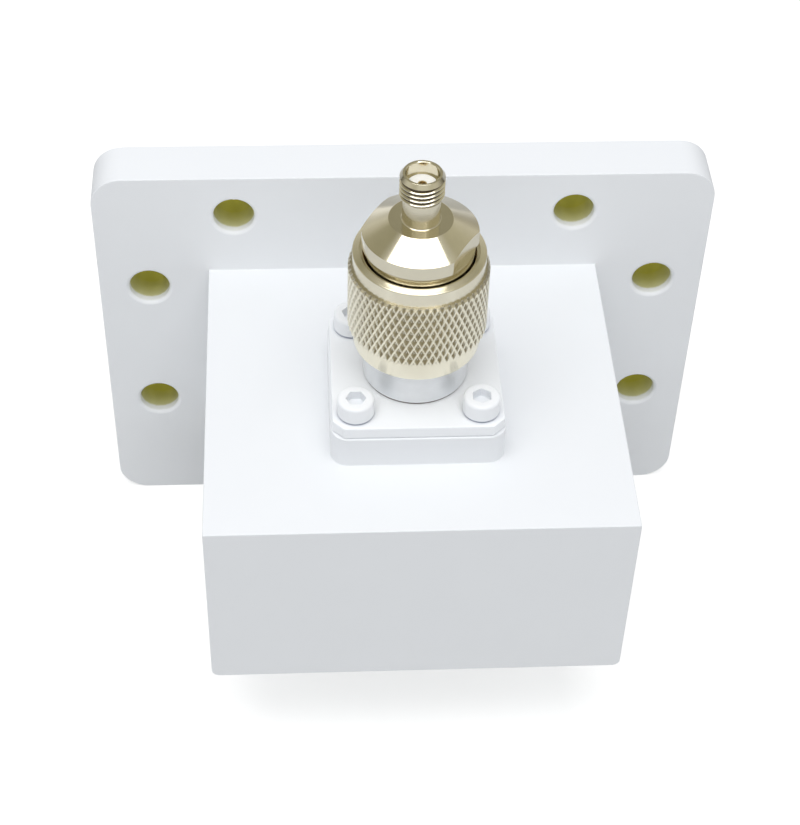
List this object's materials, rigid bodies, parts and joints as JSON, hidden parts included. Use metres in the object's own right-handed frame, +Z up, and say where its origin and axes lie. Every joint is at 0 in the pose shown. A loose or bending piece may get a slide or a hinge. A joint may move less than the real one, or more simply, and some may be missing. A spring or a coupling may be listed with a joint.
{
  "type": "waveguide to coaxial adapter",
  "caption": "Right-angle waveguide to coaxial adapter: a white flanged rectangular guide with a screwed panel jack and a knurled screw-on coaxial adapter on top.",
  "frame": {"origin": "centre of the flange's mating face, on the axis of the guide", "axes": "+Y out of the mating face, +Z up the coax axis, +X across the guide"},
  "size_m": [0.0984, 0.0652, 0.0953],
  "materials": {
    "painted_body": "white powder coat outside, yellow chromate conversion on the bare aluminium of the mating face, the guide and the bolt holes",
    "painted_fittings": "sprayed white over nickel plate",
    "fluoropolymer": "white, waxy",
    "gold_plate": "gold plate",
    "nickel_plate": "bright nickel plate on brass",
    "spring_bronze": "bare spring bronze",
    "silicone": "red-brown silicone rubber"
  },
  "bodies": {
    "root": {"body": "painted_body", "jack_shell": "painted_fittings", "jack_insulator": "fluoropolymer", "jack_contact": "gold_plate", "launch_probe": "gold_plate", "flange_screws": "painted_fittings"},
    "adapter": {"plug_shell": "nickel_plate", "plug_ferrule": "nickel_plate", "sealing_gasket": "silicone", "plug_insulator": "fluoropolymer", "pin_contact": "gold_plate", "small_insulator": "fluoropolymer", "small_contact": "gold_plate", "retaining_ring": "spring_bronze"},
    "nut": {"coupling_nut": "nickel_plate"}
  },
  "joints": [
    {"name": "adapter_lift", "type": "slide", "parent": "root", "child": "adapter", "axis": [0, 0, 1], "range_m": [0, 0.00953]},
    {"name": "nut_turn", "type": "hinge", "parent": "adapter", "child": "nut", "pos_m": [0, -0.0394, 0.0385], "axis": [0, 0, 1], "range_deg": [0, 3240]}
  ],
  "couplings": [
    {"joint": "adapter_lift", "follows": "nut_turn", "m_per_rad": 0.00016844}
  ]
}
